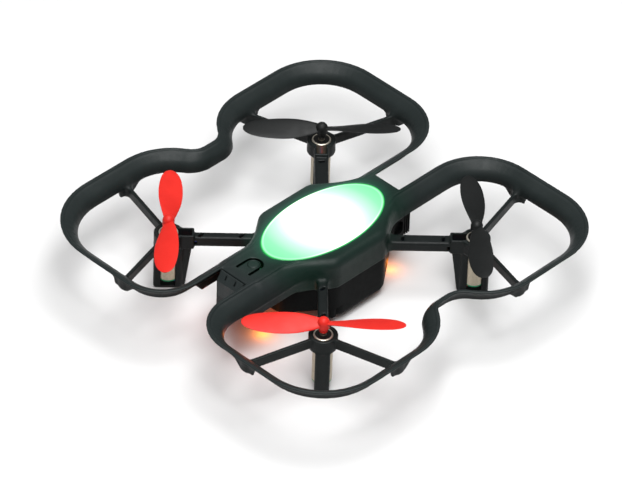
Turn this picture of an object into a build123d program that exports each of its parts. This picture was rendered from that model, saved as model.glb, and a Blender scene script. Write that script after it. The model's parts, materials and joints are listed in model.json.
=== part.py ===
from build123d import *
import os
from math import cos, radians, sin, tan

# Palm-sized quadcopter with a moulded double-loop propeller guard.
# Millimetres. Origin on the ground plane under the centre of the craft,
# +Y towards the nose, +X to the right, +Z up.

os.makedirs("parts", exist_ok=True)

# ---------------------------------------------------------------- driving dimensions
MOTOR_OFFSET = 37.8          # each motor axis stands this far from both centre planes
CAN_RADIUS = 3.5             # coreless motor, 7 mm can
CAN_TOP = 23.5               # height of the can's upper rim
CAN_BOTTOM = 4.3             # where the can meets its end cap
CAP_BOTTOM = 3.5

GUARD_TOP = 29.4
SHELL_TOP = 29.2
PARTING = 17.7               # joint plane between top shell and lower housing
BELLY = 2.4                  # underside of the lower housing

# guard loop, outline of its upper lip on the right-hand side (mirrored for the left)
LOOP_INNER_X = 6.0
LOOP_OUTER_X = 71.9
LOOP_END_Y = 72.6
LOOP_SHOULDER_Y = (16.7, 13.5)           # in front of the waist and behind it
LOOP_WAIST_X = 58.3
LOOP_WAIST_Y = (6.9, 3.7)
# corner radii of a loop: inner end, outer end, shoulder, waist
FRONT_RADII = (21.6, 23.7, 23.4, 6.3)
REAR_RADII = (17.6, 27.0, 23.4, 6.3)
WAIST_BEND = 54.3            # degrees turned at the shoulder and again at the waist
GUARD_WALL = 1.1
# the wall's outer face: inset from the lip, height above the ground
GUARD_PROFILE = ((0.0, GUARD_TOP), (2.4, 27.2), (4.1, 25.0), (5.0, 22.4))
WAIST_FLARE = 0.7            # the waist flares less than the rest of the loop

# body outline
BODY_HALF_WIDTH = 19.4
BODY_CORNER_Y = 12.0
NECK_HALF_WIDTH = 9.8
BODY_END_Y = 28.2
BODY_END_X = 7.4
NECK_BENDS = (27.2, 25.39)   # heights where the neck's side bends
NECK_FRONT_Y = 32.1
NECK_REAR_Y = -43.5
WALL = 1.3
BODY_CORNER_RADIUS = 6.0
SHOULDER_FILLET = 3.0
HOUSING_FILLET = 2.6
HOUSING_INSET = 0.5
MID_FLOOR = 7.9              # underside of the housing behind the belly
REAR_FLOOR = 13.2            # underside of the battery bay
BAY_HALF_WIDTH = 6.7
NOSE_FLOOR = 11.7
NOSE_Y = 34.3
NOSE_TOP = 20.5
NOSE_HALF_WIDTH = 10.0

# light
LENS_LENGTH = 54.0
LENS_WIDTH = 28.5
LENS_GAP = 0.1

# motor pods and arms
POD_RADIUS = 5.1
POD_BOTTOM = 17.0
POST_WIDTH = 5.2
POCKET_END = 9.0
POCKET_WIDTH = 5.0
ARM_TOP = 22.3
ARM_BOTTOM = 18.2
ARM_WIDTH = {"front": 5.0, "rear": 3.6}
DUCT_WIDTH = 2.0
DUCT_TOP = 20.7
SPOKE_ANGLE = 120            # from the arm, to each side
SPOKE_TOP = 23.2
SPOKE_BOTTOM = 19.4
SPOKE_WIDTH = 1.3
SPOKE_REACH = 31.0
TAB_BOTTOM = 19.6
SKIRT_BOTTOM = 18.8          # the loops reach lower beside the battery
SKIRT_REAR_Y = -50.5
SKIRT_LEAN = 3.0
TAB_SPAN = (24.6, 34.4)      # from the craft's centre plane, along the wall
TAB_LEANS = (2.8, 0.8)       # each end of a tab leans in by this much
FIN_FOOT = 5.9               # the fin's outer edge below and above, from the motor axis
FIN_FOOT_Z = 0.4
FIN_HEAD = 8.2
FIN_WIDTH = 3.2
FIN_SKIN = 0.8
FOOT_PLATE = 1.0
ARM_ROOT = 32.0              # well inside the body, where the body's flank trims it
ARM_EDGE = 0.8
ARM_SLOTS = (11.3, 25.5)
ARM_SLOT_SIZE = (2.4, 0.9)
ARM_SLOT_TURN = {"front": 80, "rear": 45}

# propellers
PROP_RADIUS = 28.0
BLADE_Z = 28.2
HUB_RADIUS = 2.15
HUB_TOP = 30.7
HUB_BOTTOM = 24.9
SHAFT_RADIUS = 0.4
SHAFT_CLEARANCE = 0.05
SHAFT_BOTTOM = 12.4
SHAFT_TOP = 30.0
HUB_NECK = 1.5
BOSS_RADIUS = 1.1
BOSS_HEIGHT = 0.4
# each blade section: reach from the axis, chord, thickness, pitch in degrees, shift to the rear
BLADE_SECTIONS = (
    (1.0, 3.8, 1.6, 26, 0.0),
    (4.5, 5.8, 1.2, 26, 0.0),
    (9.0, 7.8, 1.0, 22, 0.1),
    (14.5, 8.8, 0.9, 17, 0.2),
    (20.5, 8.2, 0.8, 13, 0.2),
    (25.0, 6.2, 0.7, 11, 0.1),
    (27.3, 3.4, 0.5, 10, 0.0),
    (28.0, 1.2, 0.3, 10, 0.0),
)

# motor leads
LEAD_RADIUS = 0.35
LEAD_SPACING = 0.9
LEAD_EXIT_X = 2.0
LEAD_LOW_Z = 1.9
LEAD_RISE_X = 4.35
LEAD_HIGH_Z = 19.8
LEAD_END_X = 35.0
LEAD_BENDS = [0.7, 0.9, 1.2]

# parts inside the body
BOSS_PLACES = ((16.3, 11.6), (-16.3, 11.6), (-16.3, -11.6), (16.3, -11.6))
BOSS_WALL_RADIUS = 1.7
BOSS_TIP_RADIUS = 1.35
SCREW_RADIUS = 0.75
SCREW_HEAD_RADIUS = 1.4
SCREW_SEAT = 8.0
SCREW_TOP = 23.0
MAIN_BOARD_Z = 18.6
MAIN_BOARD_REAR_Y = -9.0
BOARD_THICKNESS = 0.8
FLANGE_THICKNESS = 1.0
FLANGE_GROW = 1.0
REFLECTOR_HEIGHT = 2.1
BELLY_REAR_Y = -11.3
BELLY_REAR_RADIUS = 3.4
BELLY_WELL = (30.0, 18.0)
BELLY_WELL_Y = 1.0
RAIL_X = 3.5
RAIL_Y = -19.5
RAIL_LENGTH = 15.5
SENSOR_PLACE = (0, -3.0)
SENSOR_RADIUS = 2.2
BELLY_LIGHT = (10.0, 3.0)
BELLY_LIGHT_Y = 18.0
TAIL_LIGHT_Y = -22.0

# power button, a tongue in the rear plate
TONGUE_RADIUS = 2.5
TONGUE_CENTRE_Y = -33.9
TONGUE_ROOT_Y = -39.0
TONGUE_SLOT = 0.85
DIMPLE_RADIUS = 2.3
STEM_LENGTH = 0.8
ROOT_GAP = 0.05
SWITCH_BOARD_Z = 24.4

# battery pack
PACK_HALF_WIDTH = 5.2
PACK_BOTTOM = 14.6
PACK_TOP = 22.4
PACK_WALL = 0.7
PACK_FRONT = -11.0
CAP_END_Y = -46.2
CAP_SEAM = 0.3               # groove between the rear plate and the latch end
CAP_HALF_WIDTH = 5.3
CAP_SLOPE_DROP = 3.2
FIT_GAP = 0.3

# motor name: side of the craft in X, side in Y, blade direction at rest (degrees), spin sense
MOTORS = {
    "front_left": (-1, 1, 46.0, -1),
    "front_right": (1, 1, 139.2, 1),
    "rear_left": (-1, -1, 134.0, 1),
    "rear_right": (1, -1, 44.5, -1),
}


def save(piece, name):
    """Label one finished piece and write it as its own STEP file."""
    piece.label = name
    export_step(piece, f"parts/{name}.step")


def motor_plane(side_x, side_y):
    """Ground plane under a motor, its X direction along the arm towards the body."""
    origin = (side_x * MOTOR_OFFSET, side_y * MOTOR_OFFSET, 0)
    return Plane(origin=origin, x_dir=(-side_x, -side_y, 0), z_dir=(0, 0, 1))


# ---------------------------------------------------------------- guard loops
def loop_corners(inset, side):
    """Corners and radii of a loop's outline, moved inwards by inset."""
    bend = tan(radians(WAIST_BEND / 2))
    waist_x = LOOP_WAIST_X - inset * WAIST_FLARE
    halves = []
    for shoulder_y, waist_y in zip(LOOP_SHOULDER_Y, LOOP_WAIST_Y):
        halves.append([
            (LOOP_INNER_X + inset, LOOP_END_Y - inset),
            (LOOP_OUTER_X - inset, LOOP_END_Y - inset),
            (LOOP_OUTER_X - inset, shoulder_y + inset * bend),
            (waist_x, waist_y + inset * bend),
        ])
    corners = halves[0] + [(x, -y) for x, y in reversed(halves[1])]
    growth = (-inset, -inset, -inset, inset * WAIST_FLARE)
    front = [radius + change for radius, change in zip(FRONT_RADII, growth)]
    rear = [radius + change for radius, change in zip(REAR_RADII, growth)]
    return [(side * x, y) for x, y in corners], front + rear[::-1]


def guard_level(side, inset, height):
    """One horizontal outline of a loop as a filled sketch."""
    corners, radii = loop_corners(inset, side)
    with BuildSketch(Plane.XY.offset(height)) as level:
        with BuildLine():
            FilletPolyline(*corners, radius=radii, close=True)
        make_face()
    return level.sketch


def ribbon_volume(side, wall):
    """The space inside a loop's outer face, or inside its inner face when wall is given."""
    with BuildPart() as volume:
        for (inset_a, z_a), (inset_b, z_b) in zip(GUARD_PROFILE, GUARD_PROFILE[1:]):
            loft([guard_level(side, inset_a + wall, z_a), guard_level(side, inset_b + wall, z_b)],
                 ruled=True)
    return volume.part


def body_block(bottom, top, grow):
    """Elongated octagon of the body between two heights, grown outwards by grow."""
    corners = []
    for sx, sy in ((1, 1), (1, -1), (-1, -1), (-1, 1)):
        end = (sx * (BODY_END_X + grow), sy * (BODY_END_Y + grow))
        flank = (sx * (BODY_HALF_WIDTH + grow), sy * (BODY_CORNER_Y + grow * 0.35))
        corners += [end, flank] if sx * sy > 0 else [flank, end]
    with BuildPart() as block:
        with BuildSketch(Plane.XY.offset(bottom)) as block_plan:
            with BuildLine():
                Polyline(*corners, close=True)
            make_face()
            fillet(block_plan.vertices(), radius=BODY_CORNER_RADIUS + grow)
        extrude(amount=top - bottom)
    return block.part


def guard_tabs(side):
    """Small trapezoid tabs under a loop's lower edge, one for each spoke that reaches it."""
    inset, edge_z = GUARD_PROFILE[-1]
    near, far = TAB_SPAN
    outline = [(near, edge_z), (near + TAB_LEANS[0], TAB_BOTTOM),
               (far - TAB_LEANS[1], TAB_BOTTOM), (far, edge_z)]
    end_wall = LOOP_END_Y - inset
    side_wall = LOOP_OUTER_X - inset
    with BuildPart() as tabs:
        for sign in (1, -1):
            with BuildSketch(Plane.XZ.offset(-sign * end_wall)):
                with BuildLine():
                    Polyline(*[(side * along, z) for along, z in outline], close=True)
                make_face()
            extrude(amount=sign * GUARD_WALL)
            with BuildSketch(Plane.YZ.offset(side * side_wall)):
                with BuildLine():
                    Polyline(*[(sign * along, z) for along, z in outline], close=True)
                make_face()
            extrude(amount=-side * GUARD_WALL)
    return tabs.part


def guard_skirt(side):
    """Deeper stretch of a loop's inner wall, alongside the battery."""
    inset, edge_z = GUARD_PROFILE[-1]
    with BuildPart() as skirt:
        with BuildSketch(Plane.YZ.offset(side * (LOOP_INNER_X + inset))):
            with BuildLine():
                Polyline((SKIRT_REAR_Y, edge_z), (SKIRT_REAR_Y + SKIRT_LEAN, SKIRT_BOTTOM),
                         (-BODY_CORNER_Y, SKIRT_BOTTOM), (-BODY_CORNER_Y, edge_z), close=True)
            make_face()
        extrude(amount=side * GUARD_WALL)
    return skirt.part


for guard_name, guard_side in (("guard_left", -1), ("guard_right", 1)):
    with BuildPart() as guard:
        add(ribbon_volume(guard_side, 0))
        add(ribbon_volume(guard_side, GUARD_WALL), mode=Mode.SUBTRACT)
        add(guard_tabs(guard_side))
        add(guard_skirt(guard_side))
        add(body_block(PARTING, GUARD_TOP, 0), mode=Mode.SUBTRACT)
    save(guard.part, guard_name)


# ---------------------------------------------------------------- motor arms
def motor_arm(side_x, side_y, arm_width, slot_turn):
    """Arm with its wire duct, motor collar, pocket, posts, foot and two spokes, in one moulding."""
    plan = motor_plane(side_x, side_y)
    upright = Plane(origin=plan.origin, x_dir=plan.x_dir, z_dir=-plan.y_dir)
    bore = CAN_RADIUS + FIT_GAP / 6
    slit = (POCKET_END, POCKET_END + 0.9)
    with BuildPart() as arm:
        # collar round the can, coned underneath
        with BuildSketch(plan.offset(POD_BOTTOM)):
            Circle(POD_RADIUS)
        extrude(amount=CAN_TOP - POD_BOTTOM)
        chamfer(arm.edges().filter_by(GeomType.CIRCLE).sort_by(Axis.Z)[0], length=POD_RADIUS - 3.7)
        # two posts and the foot plate
        with BuildSketch(plan):
            RectangleRounded(2 * POD_RADIUS, POST_WIDTH, 0.6)
        extrude(amount=POD_BOTTOM + 2)
        # wedge-shaped fin that carries the wires up the body side of the can
        with BuildSketch(upright):
            with BuildLine():
                Polyline((CAN_RADIUS, FIN_FOOT_Z), (FIN_FOOT, FIN_FOOT_Z), (FIN_HEAD, POD_BOTTOM + 0.6),
                         (FIN_HEAD, CAN_TOP - 2), (CAN_RADIUS, CAN_TOP - 2), close=True)
            make_face()
        extrude(amount=FIN_WIDTH / 2, both=True)
        # open pocket between collar and arm
        with BuildSketch(plan.offset(POD_BOTTOM + 0.6)):
            with Locations(((CAN_RADIUS + POCKET_END) / 2, 0)):
                RectangleRounded(POCKET_END - CAN_RADIUS, POCKET_WIDTH, 0.5)
        extrude(amount=CAN_TOP - POD_BOTTOM - 0.6)
        # arm beam
        with BuildSketch(plan.offset(ARM_BOTTOM)):
            with Locations(((POCKET_END + ARM_ROOT) / 2 - 0.2, 0)):
                Rectangle(ARM_ROOT - POCKET_END + 0.4, arm_width)
        extrude(amount=ARM_TOP - ARM_BOTTOM)
        top_edges = arm.edges().filter_by_position(Axis.Z, ARM_TOP - 0.01, ARM_TOP + 0.01)
        fillet(top_edges.filter_by(lambda edge: edge.length > 10), radius=ARM_EDGE)
        # two thin spokes to the guard
        with BuildSketch(plan.offset(SPOKE_BOTTOM)):
            with PolarLocations((POD_RADIUS + SPOKE_REACH) / 2 - 0.3, 2, SPOKE_ANGLE, 2 * SPOKE_ANGLE):
                Rectangle(SPOKE_REACH - POD_RADIUS + 0.6, SPOKE_WIDTH)
        extrude(amount=SPOKE_TOP - SPOKE_BOTTOM)
        wall_x = LOOP_OUTER_X - GUARD_PROFILE[-1][0] - GUARD_WALL
        wall_y = LOOP_END_Y - GUARD_PROFILE[-1][0] - GUARD_WALL
        split(bisect_by=Plane(origin=(side_x * wall_x, 0, 0), z_dir=(side_x, 0, 0)), keep=Keep.BOTTOM)
        split(bisect_by=Plane(origin=(0, side_y * wall_y, 0), z_dir=(0, side_y, 0)), keep=Keep.BOTTOM)
        # bore for the can, down to the foot plate
        with BuildSketch(plan.offset(FOOT_PLATE)):
            Circle(bore)
        extrude(amount=CAN_TOP, mode=Mode.SUBTRACT)
        # wire shaft inside the fin, open into the bore
        with BuildSketch(upright):
            with BuildLine():
                Polyline((0, FOOT_PLATE), (FIN_FOOT - FIN_SKIN, FOOT_PLATE),
                         (FIN_HEAD - FIN_SKIN, POD_BOTTOM + 0.6), (FIN_HEAD - FIN_SKIN, CAN_TOP + 1),
                         (0, CAN_TOP + 1), close=True)
            make_face()
        extrude(amount=DUCT_WIDTH / 2, both=True, mode=Mode.SUBTRACT)
        # mouth of the pocket
        with BuildSketch(plan.offset(POD_BOTTOM + 1.6)):
            with Locations(((CAN_RADIUS + POCKET_END - FIN_SKIN) / 2, 0)):
                Rectangle(POCKET_END - FIN_SKIN - CAN_RADIUS + 0.6, POCKET_WIDTH - 2 * 0.7)
        extrude(amount=CAN_TOP, mode=Mode.SUBTRACT)
        # wire duct under the arm, side slit beside the pocket and two slots through the top
        with BuildSketch(plan.offset(ARM_BOTTOM)):
            with Locations(((POCKET_END - 1 + ARM_ROOT + 1) / 2, 0)):
                Rectangle(ARM_ROOT + 1 - POCKET_END + 1, DUCT_WIDTH)
        extrude(amount=DUCT_TOP - ARM_BOTTOM, mode=Mode.SUBTRACT)
        with BuildSketch(plan.offset(ARM_BOTTOM)):
            with Locations((sum(slit) / 2, 0)):
                Rectangle(slit[1] - slit[0], arm_width + 1)
        extrude(amount=DUCT_TOP - ARM_BOTTOM, mode=Mode.SUBTRACT)
        with BuildSketch(plan.offset(DUCT_TOP)):
            for slot_x in ARM_SLOTS:
                with Locations((slot_x, 0)):
                    SlotOverall(*ARM_SLOT_SIZE, rotation=slot_turn)
        extrude(amount=ARM_TOP, mode=Mode.SUBTRACT)
        add(body_block(PARTING, GUARD_TOP, 0), mode=Mode.SUBTRACT)
    return arm.part


for motor_name, (sx, sy, _, _) in MOTORS.items():
    end_name = motor_name.split("_")[0]
    save(motor_arm(sx, sy, ARM_WIDTH[end_name], ARM_SLOT_TURN[end_name]), f"arm_{motor_name}")


# ---------------------------------------------------------------- motors, leads and propellers
def motor_can(plan):
    """Steel can with its front bearing boss and a bore for the shaft."""
    with BuildPart() as can:
        with BuildSketch(plan.offset(CAN_BOTTOM)):
            Circle(CAN_RADIUS)
        extrude(amount=CAN_TOP - CAN_BOTTOM)
        fillet(can.edges().filter_by(GeomType.CIRCLE).sort_by(Axis.Z)[-1], radius=0.4)
        with BuildSketch(plan.offset(CAN_TOP)):
            Circle(BOSS_RADIUS)
        extrude(amount=BOSS_HEIGHT)
        with BuildSketch(plan.offset(SHAFT_BOTTOM - 0.4)):
            Circle(SHAFT_RADIUS + SHAFT_CLEARANCE)
        extrude(amount=CAN_TOP, mode=Mode.SUBTRACT)
    return can.part


def motor_cap(plan):
    """Moulded end cap under the can, where the two leads come out."""
    with BuildPart() as cap:
        with BuildSketch(plan.offset(CAP_BOTTOM)):
            Circle(CAN_RADIUS - 0.1)
        extrude(amount=CAN_BOTTOM - CAP_BOTTOM)
        chamfer(cap.edges().filter_by(GeomType.CIRCLE).sort_by(Axis.Z)[0], length=0.2)
    return cap.part


def motor_shaft(plan):
    """Steel shaft that the propeller is pressed on to."""
    with BuildPart() as shaft:
        with BuildSketch(plan.offset(SHAFT_BOTTOM)):
            Circle(SHAFT_RADIUS)
        extrude(amount=SHAFT_TOP - SHAFT_BOTTOM)
    return shaft.part


def motor_lead(side_x, side_y, across):
    """One lead from the motor's end cap, up the fin, through the arm and on to the main board."""
    plan = motor_plane(side_x, side_y)
    start = plan.from_local_coords(Vector(LEAD_EXIT_X, across, CAP_BOTTOM))
    route = [(LEAD_EXIT_X, CAP_BOTTOM), (LEAD_EXIT_X, LEAD_LOW_Z), (LEAD_RISE_X, LEAD_LOW_Z),
             (LEAD_RISE_X, LEAD_HIGH_Z), (LEAD_END_X, LEAD_HIGH_Z)]
    points = [plan.from_local_coords(Vector(x, across, z)) for x, z in route]
    with BuildPart() as lead:
        with BuildLine() as path:
            FilletPolyline(*points, radius=LEAD_BENDS)
        with BuildSketch(Plane(origin=start, z_dir=(0, 0, -1))):
            Circle(LEAD_RADIUS)
        sweep(path=path.line)
    return lead.part


def propeller(side_x, side_y, blade_angle, spin):
    """Two-bladed propeller with a domed hub; spin is +1 anticlockwise from above, -1 clockwise."""
    with BuildPart() as prop:
        with BuildSketch(Plane.XZ):
            with BuildLine():
                Polyline((0, HUB_BOTTOM), (HUB_NECK, HUB_BOTTOM), (HUB_NECK, HUB_BOTTOM + 1.2),
                         (HUB_RADIUS, HUB_BOTTOM + 1.8), (HUB_RADIUS, HUB_TOP - HUB_RADIUS))
                RadiusArc((HUB_RADIUS, HUB_TOP - HUB_RADIUS), (0, HUB_TOP), -HUB_RADIUS)
                Line((0, HUB_TOP), (0, HUB_BOTTOM))
            make_face()
        revolve(axis=Axis.Z)
        for way in (1, -1):
            for reach, chord, thickness, pitch, sweep_back in BLADE_SECTIONS:
                rise = radians(pitch)
                chord_way = Vector(0, way * spin * cos(rise), sin(rise))
                middle = Vector(way * reach, 0, BLADE_Z) - chord_way * sweep_back
                with BuildSketch(Plane(origin=middle, x_dir=chord_way, z_dir=(way, 0, 0))):
                    Ellipse(chord / 2, thickness / 2)
            loft()
        with BuildSketch():
            Circle(SHAFT_RADIUS)
        extrude(amount=SHAFT_TOP, mode=Mode.SUBTRACT)
    place = Location((side_x * MOTOR_OFFSET, side_y * MOTOR_OFFSET, 0), (0, 0, blade_angle))
    return prop.part.moved(place)


for motor_name, (sx, sy, angle, spin) in MOTORS.items():
    motor_axis = motor_plane(sx, sy)
    save(motor_can(motor_axis), f"motor_can_{motor_name}")
    save(motor_cap(motor_axis), f"motor_cap_{motor_name}")
    save(motor_shaft(motor_axis), f"motor_shaft_{motor_name}")
    save(motor_lead(sx, sy, LEAD_SPACING / 2), f"lead_red_{motor_name}")
    save(motor_lead(sx, sy, -LEAD_SPACING / 2), f"lead_blue_{motor_name}")
    save(propeller(sx, sy, angle, spin), f"propeller_{motor_name}")


# ---------------------------------------------------------------- top shell
def guard_inset(height):
    """Inset of a loop's outer face at a height between its lip and its lower edge."""
    for (inset_a, z_a), (inset_b, z_b) in zip(GUARD_PROFILE, GUARD_PROFILE[1:]):
        if z_b <= height <= z_a:
            return inset_a + (z_a - height) / (z_a - z_b) * (inset_b - inset_a)
    return GUARD_PROFILE[-1][0]


def neck_outline(shrink, top, bottom):
    """Neck's cross-section: it fills the space between the two loops, and is straight below."""
    heights = [top] + [z for z in NECK_BENDS if bottom < z < top] + [bottom]
    widths = [min(LOOP_INNER_X + guard_inset(z), NECK_HALF_WIDTH) - shrink for z in heights]
    right = list(zip(widths, heights))
    return right + [(-x, z) for x, z in reversed(right)]


def neck_block(shrink, top, bottom, rear_y, front_y):
    """Prism of the neck's cross-section between two stations along the craft."""
    with BuildPart() as block:
        with BuildSketch(Plane.XZ.offset(-front_y)):
            with BuildLine():
                Polyline(*neck_outline(shrink, top, bottom), close=True)
            make_face()
        extrude(amount=front_y - rear_y)
    return block.part


def tongue_outline(grow, root_y):
    """Tongue of the power button seen from above: straight sides and a round front end."""
    radius = TONGUE_RADIUS + grow
    with BuildSketch(Plane.XY.offset(SHELL_TOP - WALL)) as outline:
        with Locations((0, TONGUE_CENTRE_Y)):
            Circle(radius)
        with Locations((0, (TONGUE_CENTRE_Y + root_y) / 2)):
            Rectangle(2 * radius, TONGUE_CENTRE_Y - root_y)
    return outline.sketch


inner_top = SHELL_TOP - WALL
with BuildPart() as top_shell:
    add(body_block(PARTING, SHELL_TOP, 0))
    flank_edges = top_shell.edges().filter_by_position(Axis.Z, SHELL_TOP - 0.01, SHELL_TOP + 0.01)
    fillet(flank_edges.filter_by(lambda edge: abs(edge.tangent_at(0).Y) > 0.1), radius=SHOULDER_FILLET)
    add(neck_block(0, SHELL_TOP, inner_top, NECK_REAR_Y, 0))
    add(neck_block(0, SHELL_TOP, NOSE_TOP, 0, NECK_FRONT_Y))
    # two walls beside the battery under the rear plate
    with BuildSketch(Plane.XY.offset(PARTING)):
        with Locations((0, NECK_REAR_Y / 2)):
            Rectangle(2 * BAY_HALF_WIDTH, -NECK_REAR_Y)
    extrude(amount=inner_top - PARTING)
    add(body_block(PARTING, inner_top, -WALL), mode=Mode.SUBTRACT)
    with BuildSketch(Plane.XY.offset(PARTING)):
        with Locations((0, NECK_REAR_Y / 2)):
            Rectangle(2 * (PACK_HALF_WIDTH + FIT_GAP), -NECK_REAR_Y)
    extrude(amount=inner_top - PARTING, mode=Mode.SUBTRACT)
    add(neck_block(WALL, inner_top, NOSE_TOP + WALL, 0, NECK_FRONT_Y - WALL), mode=Mode.SUBTRACT)
    # screw bosses in the four corners
    with BuildSketch(Plane.XY.offset(MAIN_BOARD_Z + BOARD_THICKNESS)):
        with Locations(*BOSS_PLACES):
            Circle(BOSS_WALL_RADIUS)
    extrude(amount=inner_top - MAIN_BOARD_Z - BOARD_THICKNESS)
    with BuildSketch(Plane.XY.offset(PARTING)):
        with Locations(*BOSS_PLACES):
            Circle(SCREW_RADIUS + FIT_GAP / 6)
    extrude(amount=SCREW_TOP + 0.5 - PARTING, mode=Mode.SUBTRACT)
    # opening for the light
    with BuildSketch(Plane.XY.offset(inner_top)):
        Ellipse(LENS_WIDTH / 2 + LENS_GAP, LENS_LENGTH / 2 + LENS_GAP)
    extrude(amount=WALL, mode=Mode.SUBTRACT)
    # slot all round the power button's tongue except at its root
    add(extrude(tongue_outline(TONGUE_SLOT, TONGUE_ROOT_Y), amount=WALL, mode=Mode.PRIVATE),
        mode=Mode.SUBTRACT)
    # wire holes where the arms meet the flanks
    for side_x, side_y, _, _ in MOTORS.values():
        with BuildSketch(motor_plane(side_x, side_y).offset(ARM_BOTTOM)):
            with Locations((ARM_ROOT, 0)):
                Rectangle(8, DUCT_WIDTH)
        extrude(amount=DUCT_TOP - ARM_BOTTOM, mode=Mode.SUBTRACT)
save(top_shell.part, "top_shell")


# ---------------------------------------------------------------- power button
with BuildPart() as power_button:
    add(extrude(tongue_outline(0, TONGUE_ROOT_Y + ROOT_GAP), amount=WALL, mode=Mode.PRIVATE))
    with BuildSketch(Plane.XY.offset(SHELL_TOP)):
        with Locations((0, TONGUE_CENTRE_Y + 0.1)):
            Circle(DIMPLE_RADIUS)
            Circle(DIMPLE_RADIUS - 0.3, mode=Mode.SUBTRACT)
    extrude(amount=-0.25, mode=Mode.SUBTRACT)
    with BuildSketch(Plane.XY.offset(inner_top)):
        with Locations((0, TONGUE_CENTRE_Y)):
            Circle(0.8)
    extrude(amount=-STEM_LENGTH)
save(power_button.part, "power_button")

with BuildPart() as switch_board:
    with BuildSketch(Plane.XY.offset(SWITCH_BOARD_Z)):
        with Locations((0, TONGUE_CENTRE_Y - 0.6)):
            Rectangle(2 * (PACK_HALF_WIDTH + FIT_GAP), 9)
    extrude(amount=BOARD_THICKNESS)
save(switch_board.part, "switch_board")

with BuildPart() as power_switch:
    with BuildSketch(Plane.XY.offset(SWITCH_BOARD_Z + BOARD_THICKNESS)):
        with Locations((0, TONGUE_CENTRE_Y)):
            RectangleRounded(3.2, 3.2, 0.4)
    extrude(amount=1.1)
    with BuildSketch(Plane.XY.offset(SWITCH_BOARD_Z + BOARD_THICKNESS + 1.1)):
        with Locations((0, TONGUE_CENTRE_Y)):
            Circle(0.8)
    extrude(amount=0.3)
save(power_switch.part, "power_switch")


# ---------------------------------------------------------------- top light
with BuildPart() as light_lens:
    with BuildSketch(Plane.XY.offset(inner_top - FLANGE_THICKNESS)):
        Ellipse(LENS_WIDTH / 2 + FLANGE_GROW, LENS_LENGTH / 2 + FLANGE_GROW)
    extrude(amount=FLANGE_THICKNESS)
    with BuildSketch(Plane.XY.offset(inner_top)):
        Ellipse(LENS_WIDTH / 2, LENS_LENGTH / 2)
    extrude(amount=WALL + 0.1)
    fillet(light_lens.edges().sort_by(Axis.Z)[-1], radius=0.35)
save(light_lens.part, "light_lens")

reflector_top = inner_top - FLANGE_THICKNESS
led_board_z = reflector_top - REFLECTOR_HEIGHT - BOARD_THICKNESS
with BuildPart() as light_reflector:
    with BuildSketch(Plane.XY.offset(reflector_top - REFLECTOR_HEIGHT)):
        Ellipse(LENS_WIDTH / 2 - 0.6, LENS_LENGTH / 2 - 0.6)
        Ellipse(LENS_WIDTH / 2 - 1.6, LENS_LENGTH / 2 - 1.6, mode=Mode.SUBTRACT)
    extrude(amount=REFLECTOR_HEIGHT)
save(light_reflector.part, "light_reflector")

with BuildPart() as led_board:
    with BuildSketch(Plane.XY.offset(led_board_z)):
        Ellipse(LENS_WIDTH / 2 - 0.6, LENS_LENGTH / 2 - 0.6)
    extrude(amount=BOARD_THICKNESS)
save(led_board.part, "led_board")

with BuildPart() as light_leds:
    with BuildSketch(Plane.XY.offset(led_board_z + BOARD_THICKNESS)):
        with GridLocations(9, 11, 2, 4):
            Rectangle(2.0, 2.0)
    extrude(amount=0.8)
save(light_leds.part, "light_leds")


# ---------------------------------------------------------------- main board
with BuildPart() as main_board:
    add(body_block(MAIN_BOARD_Z, MAIN_BOARD_Z + BOARD_THICKNESS, -2.0))
    with BuildSketch(Plane.XY.offset(MAIN_BOARD_Z)):
        with Locations(*BOSS_PLACES):
            Circle(SCREW_RADIUS + 0.25)
        with Locations((0, MAIN_BOARD_REAR_Y - 20)):
            Rectangle(2 * BAY_HALF_WIDTH, 40)
    extrude(amount=BOARD_THICKNESS, mode=Mode.SUBTRACT)
save(main_board.part, "main_board")

with BuildPart() as board_chips:
    with BuildSketch(Plane.XY.offset(MAIN_BOARD_Z + BOARD_THICKNESS)):
        with Locations((0, 2)):
            Rectangle(7, 7)
        with Locations((0, 14)):
            Rectangle(9, 6)
        with Locations((-11, -6), (11, -6)):
            Rectangle(3, 4)
        with GridLocations(20, 9, 2, 2):
            Rectangle(2.2, 1.8)
    extrude(amount=1.0)
save(board_chips.part, "board_chips")

with BuildPart() as battery_connector:
    with BuildSketch(Plane.XY.offset(MAIN_BOARD_Z)):
        with Locations((0, PACK_FRONT + 3.7)):
            Rectangle(9, 3)
    extrude(amount=-5)
save(battery_connector.part, "battery_connector")

with BuildPart() as battery_springs:
    with BuildSketch(Plane.XZ.offset(-PACK_FRONT - 2.2)):
        with Locations((-3, 16.4), (0, 16.4), (3, 16.4)):
            Rectangle(1.0, 2.4)
    extrude(amount=2.1)
save(battery_springs.part, "battery_springs")


# ---------------------------------------------------------------- lower housing
with BuildPart() as belly:
    add(body_block(BELLY, MID_FLOOR, -HOUSING_INSET))
    with BuildSketch(Plane.XY.offset(BELLY)):
        with Locations((0, BELLY_REAR_Y + BODY_END_Y)):
            RectangleRounded(2 * (BODY_HALF_WIDTH - HOUSING_INSET), 2 * BODY_END_Y, BELLY_REAR_RADIUS)
    extrude(amount=MID_FLOOR - BELLY, mode=Mode.INTERSECT)
    fillet(belly.faces().sort_by(Axis.Z)[0].edges(), radius=HOUSING_FILLET)

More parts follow.
